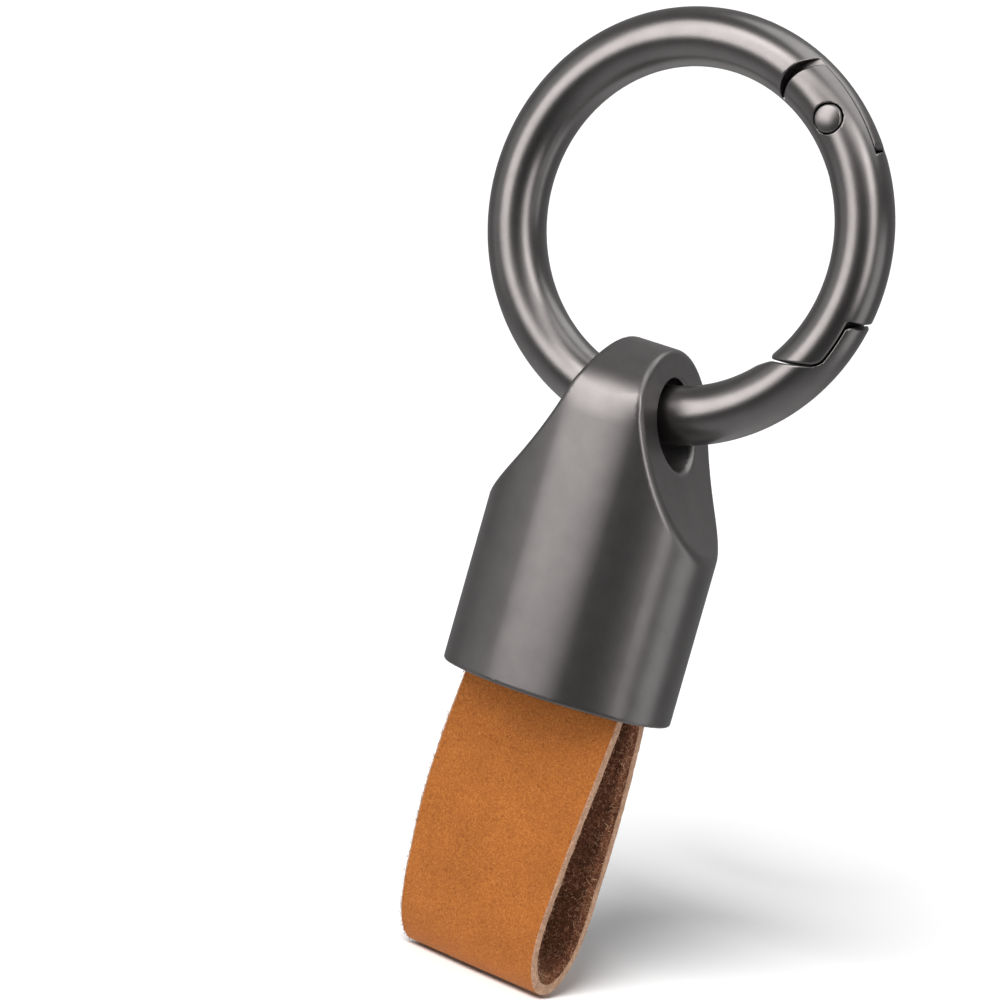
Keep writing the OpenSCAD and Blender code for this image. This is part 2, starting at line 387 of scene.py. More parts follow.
class RingShape:
    """The distance fields of the ring's pieces."""

    def __init__(self, s):
        self.s = s
        self.wire_r, self.ring_r, self.pivot = ring_frame_sizes()
        self.pivot_angle = math.atan2(self.pivot[1], self.pivot[0])
        self.crescent_angle = self.pivot_angle + s.crescent_back / self.ring_r
        self.lip_r = self.ring_r + s.lip_inset

    def parts(self, p):
        """Place, radius, angle, distance from the pivot and the wire's field."""
        x, y, z = p[:, 0], p[:, 1], p[:, 2]
        rho = np.hypot(x, z)
        angle = np.arctan2(z, x)
        hinge = np.hypot(x - self.pivot[0], z - self.pivot[1])
        return x, y, z, rho, angle, hinge, np.hypot(rho - self.ring_r, y) - self.wire_r

    def past(self, x, z, angle):
        """Distance past the ray at that angle, towards larger angles."""
        return z * math.cos(angle) - x * math.sin(angle)

    def lean(self, y):
        """How far the latch's slanted cuts have moved at that place across the wire."""
        return self.s.latch_lean * (y + LEAN_FROM * self.wire_r)

    def by_bore(self, x, z):
        """Distance from the pivot along the spring's bore, and distance across it."""
        dx, dz = x - self.pivot[0], z - self.pivot[1]
        cos, sin = math.cos(self.s.bore_turn), math.sin(self.s.bore_turn)
        return dx * cos + dz * sin, dz * cos - dx * sin

    def edge_at(self, rho, angle, extra):
        """Edge rounding: larger at the latch, on the inside of the ring."""
        start, run = INNER_FROM * self.wire_r, INNER_RUN * self.wire_r
        inner = ease((self.ring_r - start - rho) / run)
        latch = (angle < 0) & (angle > LATCH_FROM)
        return self.s.edge + extra * inner * latch

    def frame(self, p):
        s = self.s
        x, y, z, rho, angle, hinge, wire = self.parts(p)
        at = self.crescent_angle
        centre = self.ring_r * np.array([math.cos(at), math.sin(at)])
        crescent = np.hypot(x - centre[0], z - centre[1]) - s.crescent_r
        window = np.minimum(self.past(x, z, at), crescent)
        window = np.maximum(window, hinge - s.reach - s.latch_gap - self.lean(y))
        lip_end = self.past(x, z, s.lip_end) - END_LEAN * self.lean(y)
        lip = np.where(x > 0, both(self.lip_r - rho, lip_end, LIP_EDGE), 1)
        window = -either(-window, lip, LIP_FILL)
        body = cut(wire, window, self.edge_at(rho, angle, s.corner))
        before_pivot = -self.past(x, z, self.pivot_angle)
        root = np.maximum(before_pivot, self.past(x, z, at + s.tongue_root))
        root = np.where(x > 0, root, 1)
        tongue = np.minimum(hinge - s.tongue_r, root)
        tongue = np.maximum(tongue, self.by_bore(x, z)[0] - TONGUE_FLAT)
        tongue = both(wire, tongue, TONGUE_EDGE)
        tongue = both(tongue, np.abs(y) - s.tongue_t / 2, TONGUE_FACE_EDGE)
        return cut(np.minimum(body, tongue), hinge - s.shank_r - TONGUE_PLAY)

    def gate(self, p):
        s = self.s
        x, y, z, rho, angle, hinge, wire = self.parts(p)
        outline = either(self.past(x, z, self.pivot_angle), hinge - s.fork_r)
        notch_end = self.past(x, z, s.notch_end) - END_LEAN * self.lean(y)
        notch = both(self.lip_r - s.lip_gap - rho, notch_end, NOTCH_EDGE)
        outline = cut(both(outline, hinge - s.reach - self.lean(y)), notch, NOTCH_FILL)
        body = both(wire, outline, self.edge_at(rho, angle, GATE_CORNER))
        slot = np.maximum(np.abs(y) - s.tongue_t / 2 - s.slot_gap, hinge - s.slot_r)
        body = cut(body, slot, SLOT_EDGE)
        seat_floor = s.head_seat - SEAT_PLAY - np.abs(y)
        seat = np.maximum(hinge - s.head_r - s.head_gap, seat_floor)
        body = cut(body, seat, SEAT_EDGE)
        body = cut(body, hinge - s.shank_r - GATE_PLAY)
        along, across = self.by_bore(x, z)
        bore = np.maximum(np.hypot(across, y) - s.bore_r, -along)
        return cut(body, np.maximum(bore, along - s.bore_end), BORE_EDGE)

    def rivet(self, p):
        s = self.s
        _, y, _, _, _, hinge, _ = self.parts(p)
        top = self.wire_r + HEAD_PROUD - s.dome_r
        dome = np.hypot(hinge, np.abs(y) - top) - s.dome_r
        head = both(hinge - s.head_r, dome, HEAD_EDGE)
        head = both(head, s.head_seat - np.abs(y), HEAD_UNDER_EDGE)
        shank_end = np.abs(y) - s.head_seat - SHANK_OVERLAP
        return np.minimum(head, np.maximum(hinge - s.shank_r, shank_end))

    def arc(self, name, field, *runs):
        """The mesh of one arc, over runs of (from, to) in degrees: fine, coarse and fine."""
        s = self.s
        steps = [step / self.ring_r for step in (s.fine, s.coarse, s.fine)]
        angles = [(math.radians(a), math.radians(b), step) for (a, b), step in zip(runs, steps)]
        step = s.fine * ACROSS_STEP
        pad = 2.5 * step
        radii = spacing((self.ring_r - self.wire_r - pad, self.ring_r + self.wire_r + pad, step))
        heights = spacing((-self.wire_r - pad, self.wire_r + pad, step))
        return make(name, *skin(field, (spacing(*angles), radii, heights), polar), [gunmetal()])


class FOB_OT_ring_frame(bpy.types.Operator):
    """Builds the ring's fixed arc, with its hinge tongue and its lip"""

    bl_idname = "fob.ring_frame"
    bl_label = "Ring frame"

    def execute(self, context):
        shape = RingShape(context.scene.fob_ring)
        obj = shape.arc("ring_frame_arc", shape.frame, (36, 78), (78, 312), (312, 349))
        stands_for(obj, "ring_frame", "ring")
        return {"FINISHED"}


class FOB_OT_ring_gate(bpy.types.Operator):
    """Builds the ring's hinged arc, with its fork and its stepped free end"""

    bl_idname = "fob.ring_gate"
    bl_label = "Ring gate"

    def execute(self, context):
        shape = RingShape(context.scene.fob_ring)
        obj = shape.arc("ring_gate_arc", shape.gate, (-44, -7), (-7, 28), (28, 72))
        stands_for(obj, "ring_gate", "gate")
        return {"FINISHED"}


class FOB_OT_rivet(bpy.types.Operator):
    """Builds the hinge's rivet"""

    bl_idname = "fob.rivet"
    bl_label = "Hinge rivet"

    def execute(self, context):
        shape = RingShape(context.scene.fob_ring)
        axes = box_axes(*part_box("hinge_rivet"), step=0.07 * MM, pad=0.15 * MM)
        obj = make("rivet_pin", *skin(shape.rivet, axes), [gunmetal()])
        stands_for(obj, "hinge_rivet", "gate")
        return {"FINISHED"}


# ---- cap ----


def four_arc_oval(x, y, w, d, end_r):
    """Distance from an oval of four arcs that meet smoothly."""
    c, k = w / 2 - end_r, d / 2 - end_r
    h = (c * c - k * k) / (2 * k)
    x, y = np.abs(x), np.abs(y)
    broad = np.hypot(x, y + h) - d / 2 - h
    end = np.hypot(x - c, y) - end_r
    return np.where(x * h < c * (y + h), broad, end)


TIP_FROM, TIP_RUN = 0.36, 0.12  # where the shoulder's own rounding grows, in widths
TIP_TOP, TIP_FADE = 4 * MM, 3 * MM  # and how far up it fades, above the shoulder
EYE_EDGE = 0.35 * MM
STRAP_ROOM, PLATE_ROOM, END_ROOM = 0.12 * MM, 0.1 * MM, 0.3 * MM
STRAP_FRONT = 2.55 * MM  # from the middle to the strap's front
PINCH = 4.0 * MM  # height of the pocket's flare above the rim
POCKET_CORNER, POCKET_EDGE = 0.5 * MM, 0.22 * MM
SCREW_ROOM, SCREW_EDGE, SCREW_INTO = 0.04 * MM, 0.2 * MM, 0.5 * MM


class CapShape:
    """The distance field of the cap."""

    def __init__(self, s):
        self.s = s
        self.low, self.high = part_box("cap")
        self.width, self.depth = 2 * self.high.x, 2 * self.high.y
        self.eye_z = joint_place("fob_swing")[2]
        self.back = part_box("clamp_plate")[1].y + PLATE_ROOM
        self.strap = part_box("strap")[1]
        self.screws = [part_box("grub_screw_left"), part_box("grub_screw_right")]

    def casting(self, x, y, z):
        """The outside, with the crown, the two scooped sides and the eye."""
        s = self.s
        sleeve = four_arc_oval(x, y, self.width, self.depth, s.side_r)
        above = np.maximum(z - (self.high.z - s.crown_h), 0)
        crown = four_arc_oval(y, above, self.depth, 2 * s.crown_h, s.crown_side_r)
        body = both(sleeve, crown, s.edge)
        shoulder = self.low.z + s.shoulder_h
        sx = self.width / 2 + math.sqrt(s.scoop_r**2 - s.scoop_up**2)
        scoop = np.hypot(np.abs(x) - sx, z - shoulder - s.scoop_up) - s.scoop_r
        scoop = np.where(z > shoulder + s.scoop_up, np.abs(x) - sx + s.scoop_r, scoop)
        tip = ease((np.abs(x) - TIP_FROM * self.width) / (TIP_RUN * self.width))
        tip = tip * ease((shoulder + TIP_TOP - z) / TIP_FADE)
        body = cut(body, scoop, s.edge + (s.shoulder - s.edge) * tip)
        return cut(body, np.hypot(y, z - self.eye_z) - s.eye_r, EYE_EDGE)

    def pocket(self, x, y, z):
        """The strap's pocket, flared at the back towards the rim."""
        rim, front = self.low.z, STRAP_FRONT + STRAP_ROOM
        pinch = rim + PINCH
        lean = math.atan2(front - self.back, pinch - rim)
        flare = (y - self.back) * math.cos(lean) - (pinch - z) * math.sin(lean)
        wall = np.minimum(y - self.back, flare)
        pocket = np.maximum(np.maximum(-front - y, wall), z - self.strap.z - END_ROOM)
        return both(pocket, np.abs(x) - (self.strap.x + 2 * STRAP_ROOM), POCKET_CORNER)

    def field(self, p):
        x, y, z = p[:, 0], p[:, 1], p[:, 2]
        body = both(self.casting(x, y, z), self.low.z - z, self.s.rim)
        body = cut(body, self.pocket(x, y, z), POCKET_EDGE)
        for low, high in self.screws:
            middle = (low + high) / 2
            radius = (high.x - low.x) / 2
            hole = np.hypot(x - middle.x, z - middle.z) - radius - SCREW_ROOM
            hole = np.maximum(hole, self.back - SCREW_INTO - y)
            body = cut(body, hole, SCREW_EDGE)
        return body


class FOB_OT_cap(bpy.types.Operator):
    """Builds the cast cap, with its scooped sides, eye and pocket"""

    bl_idname = "fob.cap"
    bl_label = "Cap"

    def execute(self, context):
        s = context.scene.fob_cap
        shape = CapShape(s)
        axes = box_axes(shape.low, shape.high, s.step, 2.5 * s.step)
        obj = make("cap_casting", *skin(shape.field, axes), [casting()])
        stands_for(obj, "cap", "fob")
        return {"FINISHED"}


# ---- strap ----


# The loop seen from the side: how much of its widening it has at each share of the way from the
# rim down to the belly, then angles round its bottom
BELLY = ((0.46, 0.3), (0.82, 0.6), (0.97, 0.84), (1, 1))
BOTTOM_ANGLES = (28, 54, 76)
STRAIGHT_UP = 1.5 * MM  # how far above the rim the plies run straight
BEND_FROM, BEND_TO = 2.1 * MM, 4.6 * MM  # where the back ply bends to the front one
EDGE_ANGLES = (67, 45, 22)  # round the smooth side's edges
SLOPED = (0.8, -0.6)  # which way the bevelled part of the edge faces
FREE_FROM = 0.3 * MM  # how far below the rim the loop starts to twist
NARROWING = 0.7  # how much of its twist turns the strap's width
RIM_LAG = 1.5  # how much less the left edge turns, at the rim


def through_points(points, step):
    """A smooth line through the points, resampled at an even step."""
    p = np.array(points, float)
    p = np.vstack([2 * p[0] - p[1], p, 2 * p[-1] - p[-2]])
    line = []
    for k in range(1, len(p) - 2):
        a, b, c, d = p[k - 1 : k + 3]
        ta, tb = [np.linalg.norm(v) ** 0.5 for v in (b - a, c - b)]
        tc = np.linalg.norm(d - c) ** 0.5
        m1 = tb * ((b - a) / ta - (c - a) / (ta + tb) + (c - b) / tb)
        m2 = tb * ((c - b) / tb - (d - b) / (tb + tc) + (d - c) / tc)
        t = np.linspace(0, 1, 60)[:-1, None]
        line.append(
            (2 * t**3 - 3 * t**2 + 1) * b + (t**3 - 2 * t**2 + t) * m1
            + (3 * t**2 - 2 * t**3) * c + (t**3 - t**2) * m2
        )
    line = np.vstack(line + [p[-2:-1]])
    along = np.concatenate([[0], np.cumsum(np.linalg.norm(np.diff(line, axis=0), axis=1))])
    at = np.linspace(0, along[-1], round(along[-1] / step) + 1)
    return np.stack([np.interp(at, along, line[:, k]) for k in range(2)], 1), at


def clouds(points, scale, seed):
    """Cloudy noise from about -1 to 1 at each point; scale is the size of its blobs."""
    shift = Vector((seed * 7.13, seed * 3.71, seed * 5.37))
    return np.array([noise.fractal(Vector(q) / scale + shift, 0.6, 2.1, 3) for q in points])


def strap_line(s, rim, belly, bottom, top):
    """The middle of the strap from the side, from the front ply's end to the back ply's."""
    half_t = s.thickness / 2
    drop, turn_r = rim - belly, belly - bottom
    out, mouth = s.belly_half - half_t, s.rim_half - half_t
    shape = [(mouth, rim + STRAIGHT_UP), (mouth, rim)]
    shape += [(mouth + (out - mouth) * f, rim - drop * g) for f, g in BELLY]
    shape += [
        (out * math.cos(t), belly - turn_r * math.sin(t)) for t in np.radians(BOTTOM_ANGLES)
    ]
    front = [(-mouth, top), (-mouth, (top + rim) / 2)] + [(-y, z) for y, z in shape]
    back_y = -s.rim_half + s.thickness + s.ply_gap + half_t
    back = shape[:0:-1] + [((mouth + back_y) / 2, rim + BEND_FROM)]
    back += [(back_y, rim + BEND_TO), (back_y, top)]
    return through_points(front + [(0, bottom)] + back, s.step)


def strap_section(s, half_w):
    """The strap's outline across: place, way out (both across and through), and its finish."""
    half_t, round_r = s.thickness / 2, s.edge_round
    across = np.linspace(-1, 1, round(2 * half_w / s.step) + 1)
    edge = []
    for t in np.radians(EDGE_ANGLES):
        cos, sin = math.cos(t), math.sin(t)
        place = half_w - round_r * (1 - cos), half_t - round_r * (1 - sin)
        edge.append((*place, cos, sin, EDGE))
    edge += [(half_w, n, 1, 0, EDGE) for n in np.linspace(half_t - round_r, s.skive_n, 6)]
    edge += [
        (half_w - s.skive_w * f, s.skive_n - (s.skive_n + half_t) * f, *SLOPED, ROUGH)
        for f in np.linspace(0, 1, 7)[1:-1]
    ]
    section = [(q * (half_w - round_r), half_t, 0, 1, GRAIN) for q in across] + edge
    section += [(q * (half_w - s.skive_w), -half_t, 0, -1, ROUGH) for q in across[::-1]]
    section += [(-x, n, -dx, dn, k) for x, n, dx, dn, k in reversed(edge)]
    return np.array(section).T


def build_strap(s):
    """The strap: its outline drawn along its line, turned and hung."""
    low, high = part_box("strap")
    rim, half_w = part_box("cap")[0].z, high.x
    bottom = low.z + s.lift + s.thickness / 2
    line, along = strap_line(s, rim, low.z + s.belly_up, bottom, high.z - 0.05 * MM)
    tangent = np.gradient(line, axis=0)
    tangent /= np.linalg.norm(tangent, axis=1, keepdims=True)
    outward = np.stack([tangent[:, 1], -tangent[:, 0]], 1)
    loop_x, loop_n, loop_dx, loop_dn, kind = strap_section(s, half_w)
    m, rows = len(loop_x), len(line)

    centre = np.repeat(line, m, 0)
    normal = np.repeat(outward, m, 0)
    lx, ln, kinds = np.tile(loop_x, rows), np.tile(loop_n, rows), np.tile(kind, rows)
    flat = np.stack([lx, np.repeat(along, m), ln], 1)
    depths = [s.grain_depth, s.suede_depth]
    depth = np.select([kinds == GRAIN, kinds == ROUGH], depths, s.edge_depth)
    small, large = clouds(flat, 0.42 * MM, seed=1), clouds(flat, 1.7 * MM, seed=2)
    push = depth * (small * 0.6 + large * 0.4)
    yz = centre + normal * (ln + np.tile(loop_dn, rows) * push)[:, None]
    x = lx + np.tile(loop_dx, rows) * push
    drop_share = ease((rim - yz[:, 1]) / (rim - bottom))
    free = yz[:, 1] <= rim - FREE_FROM
    angle = s.twist * drop_share * free
    lag = RIM_LAG - (RIM_LAG - s.far_side_lag) * drop_share
    lead = np.where(x > 0, x, x * (1 - lag))
    y = yz[:, 0] + lead * np.tan(angle)
    z = yz[:, 1] + s.tilt * (x / half_w - 1) / 2 * drop_share**2 * free
    points = np.stack([x * np.cos(angle * NARROWING), y, np.maximum(z, low.z)], 1)

    r, c = np.meshgrid(np.arange(rows - 1), np.arange(m), indexing="ij")
    r, c = r.ravel(), c.ravel()
    d = (c + 1) % m
    quads = np.stack([r * m + c, r * m + d, (r + 1) * m + d, (r + 1) * m + c], 1)
    ends = [list(range(m - 1, -1, -1)), list(range((rows - 1) * m, rows * m))]
    finish = [grain(), suede(), raw_edge()]
    obj = make("strap_leather", points.tolist(), quads.tolist() + ends, materials=finish)
    slots = np.concatenate([np.maximum(kind[c], kind[d]), [EDGE, EDGE]])
    obj.data.polygons.foreach_set("material_index", slots.astype(np.int32))
    stands_for(obj, "strap", "fob")


class FOB_OT_strap(bpy.types.Operator):
    """Builds the folded leather strap, with its smooth side, rough side and cut edges"""

    bl_idname = "fob.strap"
    bl_label = "Strap"

    def execute(self, context):
        build_strap(context.scene.fob_strap)
        return {"FINISHED"}


SEED = 11
ON_EDGE = 1.6  # how much denser they are on a cut edge
TO_RIM = 1 * MM  # how far past the cap's rim they grow
SPREAD, SUNK = 0.06 * MM, 0.05 * MM  # of their roots
SHORTEST, LONGEST, EDGE_LENGTH = 0.3, 0.85, 0.35  # in millimetres, and the share on an edge
CURL, RISE, EDGE_RISE = 0.35, 0.32, 0.12  # in lengths
ARCH = 0.85  # how much of a half turn a fibre bends through
TAPER = 0.65


def build_fibres(s):
    """The fibres, each a thin bent prism."""
    mesh = bpy.data.objects["strap_leather"].data
    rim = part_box("cap")[0].z
    rng = np.random.default_rng(SEED)
    count, n = len(mesh.polygons), s.fibres
    centre, normal = np.zeros(count * 3), np.zeros(count * 3)
    area, kind = np.zeros(count), np.zeros(count, np.int32)
    mesh.polygons.foreach_get("center", centre)
    mesh.polygons.foreach_get("normal", normal)
    mesh.polygons.foreach_get("area", area)
    mesh.polygons.foreach_get("material_index", kind)
    centre, normal = centre.reshape(-1, 3), normal.reshape(-1, 3)
    density = np.select([kind == ROUGH, kind == EDGE], [1.0, ON_EDGE], 0)
    density = area * density * (centre[:, 2] < rim + TO_RIM)
    density[(kind == EDGE) & (normal[:, 0] < 0)] = 0
    chosen = rng.choice(count, n, p=density / density.sum())
    on_edge = (kind[chosen] == EDGE)[:, None]
    root = centre[chosen] + rng.normal(0, SPREAD, (n, 3))
    out = normal[chosen]
    lean = rng.normal(0, 1, (n, 3))
    lean -= (lean * out).sum(1, keepdims=True) * out
    lean /= np.linalg.norm(lean, axis=1, keepdims=True)
    length = rng.uniform(SHORTEST, LONGEST, (n, 1)) * MM
    length = length * np.where(on_edge, EDGE_LENGTH, 1)
    root -= out * SUNK
    curl = np.cross(out, lean) * rng.normal(0, CURL, (n, 1))
    rise = np.where(on_edge, EDGE_RISE, RISE)
    steps, sides = np.linspace(0, 1, 4), 3
    last = len(steps) - 1
    spine = []
    for t in steps:
        arch = out * rise * math.sin(math.pi * ARCH * t)
        spine.append(root + length * (lean * t + curl * t * t + arch))
    rings = []
    for k, t in enumerate(steps):
        ahead = spine[min(k + 1, last)] - spine[max(k - 1, 0)]
        ahead /= np.linalg.norm(ahead, axis=1, keepdims=True)
        u = np.cross(ahead, out)
        u /= np.maximum(np.linalg.norm(u, axis=1, keepdims=True), SHARP)
        v = np.cross(ahead, u)
        r = s.fibre_r * (1 - TAPER * t)
        for j in range(sides):
            a = 2 * math.pi * j / sides
            rings.append(spine[k] + r * (math.cos(a) * u + math.sin(a) * v))
    each = len(rings)
    points = np.stack(rings, 1).reshape(-1, 3)
    one = []
    for k in range(last):
        for j in range(sides):
            a, b = k * sides + j, k * sides + (j + 1) % sides
            one.append((a, b, b + sides, a + sides))
    quads = (np.arange(n)[:, None, None] * each + np.array(one)).reshape(-1, 4)
    first = np.arange(n)[:, None] * each
    side = np.arange(sides)
    caps = np.concatenate([first + side[::-1], first + each - sides + side])
    faces = quads.tolist() + caps.tolist()
    obj = make("strap_fibres", points.tolist(), faces, materials=[fibre()])
    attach(obj, "fob")


class FOB_OT_fibres(bpy.types.Operator):
    """Grows short loose fibres on the strap's rough side and along its cut edges"""

    bl_idname = "fob.fibres"
    bl_label = "Strap fibres"

    def execute(self, context):
        build_fibres(context.scene.fob_strap)
        return {"FINISHED"}


# ---- clamp ----


HALF_ROOT_3 = 0.866
POINT_EDGE, SOCKET_EDGE = 0.18 * MM, 0.05 * MM
SOCKET_R, SOCKET_DEEP = 0.87 * MM, 1.6 * MM
CHAMFER, CHAMFER_SLOPE = 0.12 * MM, 0.7


def screw(p, low, high):
    """Distance from a grub screw with a hexagon socket."""
    middle, r = (low + high) / 2, (high.x - low.x) / 2
    x, y, z = p[:, 0] - middle.x, p[:, 1], p[:, 2] - middle.z
    reach = np.hypot(x, z)
    body = both(reach - r, np.maximum(low.y - y, y - high.y), POINT_EDGE)
    ax, az = np.abs(x), np.abs(z)
    hexagon = np.maximum(az, az * 0.5 + ax * HALF_ROOT_3) - SOCKET_R * HALF_ROOT_3
    body = cut(body, np.maximum(hexagon, high.y - SOCKET_DEEP - y), SOCKET_EDGE)
    outside = (reach - r) * CHAMFER_SLOPE + (y - high.y) * CHAMFER_SLOPE
    return np.maximum(body, outside + CHAMFER)


class FOB_OT_screws(bpy.types.Operator):
    """Builds the two grub screws, with their hexagon sockets and chamfers"""

    bl_idname = "fob.screws"
    bl_label = "Grub screws"

    def execute(self, context):
        for side in ("left", "right"):
            low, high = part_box("grub_screw_" + side)
            axes = box_axes(low, high, step=0.07 * MM, pad=0.16 * MM)
            surface = skin(lambda p: screw(p, low, high), axes)
            obj = make("screw_" + side, *surface, [steel()])
            stands_for(obj, "grub_screw_" + side, "fob")
        return {"FINISHED"}


class FOB_OT_spring(bpy.types.Operator):
    """Builds the gate's coil spring as a rigid copy of the CAD one (the real spring shortens with
    the plunger), and finishes the steel
    """

    bl_idname = "fob.spring"
    bl_label = "Spring"

    def execute(self, context):
        solid = frame["nodes"]["gate_spring"]
        coil = bpy.data.objects.new("spring_coil", solid.data.copy())
        context.scene.collection.objects.link(coil)
        coil.matrix_world = solid.matrix_world
        for obj in (coil, frame["nodes"]["clamp_plate"], frame["nodes"]["spring_plunger"]):
            obj.data.materials.clear()
            obj.data.materials.append(steel())
            obj.data.shade_smooth()
        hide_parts("gate_spring")
        _, _, pivot = ring_frame_sizes()
        bore = context.scene.fob_ring.bore_turn
        along = Vector((math.cos(bore), 0, math.sin(bore)))
        start = Vector((pivot[0], 0, pivot[1]))
        reach = [(coil.matrix_world @ v.co - start).dot(along) for v in coil.data.vertices]
        if max(reach) - min(reach) < 1 * MM:
            raise RuntimeError("the spring does not lie along its bore")
        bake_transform(coil)
        return {"FINISHED"}


# ---- materials ----


def dial(node, **inputs):
    """Sets the node's inputs of those names."""
    for name, value in inputs.items():
        node.inputs[name.replace("_", " ")].default_value = value


def new_material(name):
    """A node material and its shader, or the one of that name and nothing if it is there."""
    m = bpy.data.materials.get(name)
    if m:
        return m, None
    m = bpy.data.materials.new(name)
    m.use_nodes = True
    return m, m.node_tree.nodes["Principled BSDF"]


def link(m, a, b):
    m.node_tree.links.new(a, b)


def add(m, kind, settings=None, **inputs):
    """A new node with its settings and the values of its named inputs."""
    made = m.node_tree.nodes.new("ShaderNode" + kind)
    for name, value in (settings or {}).items():
        setattr(made, name, value)
    dial(made, **inputs)
    return made


def cloud(m, where, size_mm, detail=4, rough=0.6, distortion=0):
    """Noise whose blobs are about that many millimetres across."""
    made = add(
        m, "TexNoise",
        Scale=1 / (size_mm * MM), Detail=detail, Roughness=rough, Distortion=distortion,
    )
    link(m, where, made.inputs["Vector"])
    return made.outputs["Fac"]


def ramp(m, value, *stops):
    """Colours along a value, from (position, colour) stops."""
    made = add(m, "ValToRGB")
    elements = made.color_ramp.elements
    while len(elements) < len(stops):
        elements.new(0.5)
    for element, (position, rgb) in zip(elements, stops):
        element.position, element.color = position, (*rgb, 1)
    link(m, value, made.inputs["Fac"])
    return made.outputs["Color"]


def levels(m, value, low, high, from_low=0.3, from_high=0.7):
    """The value's usual range spread over low to high."""
    made = add(
        m, "MapRange", {"clamp": True},
        From_Min=from_low, From_Max=from_high, To_Min=low, To_Max=high,
    )
    link(m, value, made.inputs["Value"])
    return made.outputs["Result"]


def blended(m, a, b, mode):
    """Two colours put together by that mode."""
    made = add(m, "Mix", {"data_type": "RGBA", "blend_type": mode})
    made.inputs[0].default_value = 1
    link(m, a, made.inputs[6])
    link(m, b, made.inputs[7])
    return made.outputs[2]


def relief(m, shader, heights, strength, depth):
    """Bumps from the sum of the heights."""
    total = heights[0]
    for h in heights[1:]:
        plus = add(m, "Math", {"operation": "ADD"})
        link(m, total, plus.inputs[0])
        link(m, h, plus.inputs[1])
        total = plus.outputs[0]
    bump = add(m, "Bump", Strength=strength, Distance=depth)
    link(m, total, bump.inputs["Height"])
    link(m, bump.outputs["Normal"], shader.inputs["Normal"])


def here(m):
    return add(m, "TexCoord").outputs["Object"]


def tones(kind, *shades):
    """The settings' colours of that kind."""
    return [getattr(bpy.context.scene.fob_looks, f"{kind}_{shade}") for shade in shades]


def metal(name, kind, gloss, grain_mm, bump):
    """Satin metal: two close tones in soft clouds, painted shade darkening its gaps, and a fine
    grain.

    The roughness varies with the grain, between the two values of gloss.
    """
    m, shader = new_material(name)
    if shader is None:
        return m
    where = here(m)
    tone = cloud(m, where, 2.2, detail=3)
    speck = cloud(m, where, grain_mm, detail=2, rough=0.7)
    # Painted shade: ambient occlusion darkens the base colour in gaps, slits and sockets
    painted_gap_shade = add(m, "AmbientOcclusion", {"samples": 8}, Distance=1.1 * MM)
    painted_gap_shade_colour = bpy.context.scene.fob_looks.painted_gap_shade
    shade = ramp(m, painted_gap_shade.outputs["AO"], (0.1, painted_gap_shade_colour), (0.62, WHITE))
    dark, light = tones(kind, "dark", "light")
    colours = ramp(m, tone, (0.35, dark), (0.65, light))
    link(m, blended(m, colours, shade, "MULTIPLY"), shader.inputs["Base Color"])
    link(m, levels(m, speck, *gloss), shader.inputs["Roughness"])
    dial(shader, Metallic=1)
    relief(m, shader, [speck], bump, 0.01 * MM)
    return m


def gunmetal():
    return metal("satin_gunmetal", "gunmetal", gloss=(0.28, 0.34), grain_mm=0.11, bump=0.08)


def casting():
    return metal("satin_casting", "gunmetal", gloss=(0.33, 0.4), grain_mm=0.11, bump=0.1)


def steel():
    return metal("plain_steel", "steel", gloss=(0.24, 0.34), grain_mm=0.15, bump=0.12)


def grain():
    """Nubuck: a velvety tan side with fine mottling, a few pores and slow changes of tone.

    It is darker by the cap.
    """
    m, shader = new_material("nubuck")
    if shader is None:
        return m
    where = here(m)
    fine = cloud(m, where, 0.15, detail=5, rough=0.8)
    slow = cloud(m, where, 4.5, detail=3)
    dark, mid, light, sheen = tones("tan", "dark", "mid", "light", "sheen")
    colours = ramp(m, fine, (0.36, dark), (0.5, mid), (0.64, light))
    tone = ramp(m, slow, (0.3, (0.86, 0.84, 0.8)), (0.7, WHITE))
    colours = blended(m, colours, tone, "MULTIPLY")
    pores = add(m, "TexVoronoi", Scale=1 / (0.55 * MM), Randomness=1.0)
    link(m, where, pores.inputs["Vector"])
    pit = levels(m, pores.outputs["Distance"], 0.0, 1.0, from_low=0.05, from_high=0.22)
    pitted = ramp(m, pit, (0, (0.8, 0.78, 0.74)), (1, WHITE))
    colours = blended(m, colours, pitted, "MULTIPLY")
    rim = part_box("cap")[0].z
    split = add(m, "SeparateXYZ")
    link(m, where, split.inputs[0])
    from_cap = levels(m, split.outputs["Z"], 1.0, 0.8, from_low=rim - 7 * MM, from_high=rim)
    shade = ramp(m, from_cap, (0.75, (0.76, 0.74, 0.7)), (1.0, WHITE))
    link(m, blended(m, colours, shade, "MULTIPLY"), shader.inputs["Base Color"])
    link(m, levels(m, fine, 0.62, 0.85), shader.inputs["Roughness"])
    dial(shader, Sheen_Weight=0.1, Sheen_Roughness=0.45, Sheen_Tint=(*sheen, 1))
    dial(shader, Specular_IOR_Level=0.25)
    relief(m, shader, [fine, pit], 1.0, 0.05 * MM)
    return m


def fuzzy(name, kind, size_mm):
    """Torn leather fibre: high contrast between dark hollows and pale fibre tips."""
    m, shader = new_material(name)
    if shader is None:
        return m
    where = here(m)
    tuft = cloud(m, where, size_mm, detail=6, rough=0.8, distortion=1.2)
    clump = cloud(m, where, size_mm * 5, detail=3)
    dark, mid, light = tones(kind, "dark", "mid", "light")
    colours = ramp(m, tuft, (0.34, dark), (0.52, mid), (0.72, light))
    tone = ramp(m, clump, (0.3, (0.72, 0.7, 0.68)), (0.7, (1.1, 1.1, 1.1)))
    link(m, blended(m, colours, tone, "MULTIPLY"), shader.inputs["Base Color"])
    dial(shader, Roughness=0.92, Specular_IOR_Level=0.15)
    dial(shader, Sheen_Weight=0.25, Sheen_Tint=(*light, 1))
    relief(m, shader, [tuft], 0.8, 0.12 * MM)
    return m


def suede():
    return fuzzy("suede", "suede", 0.28)


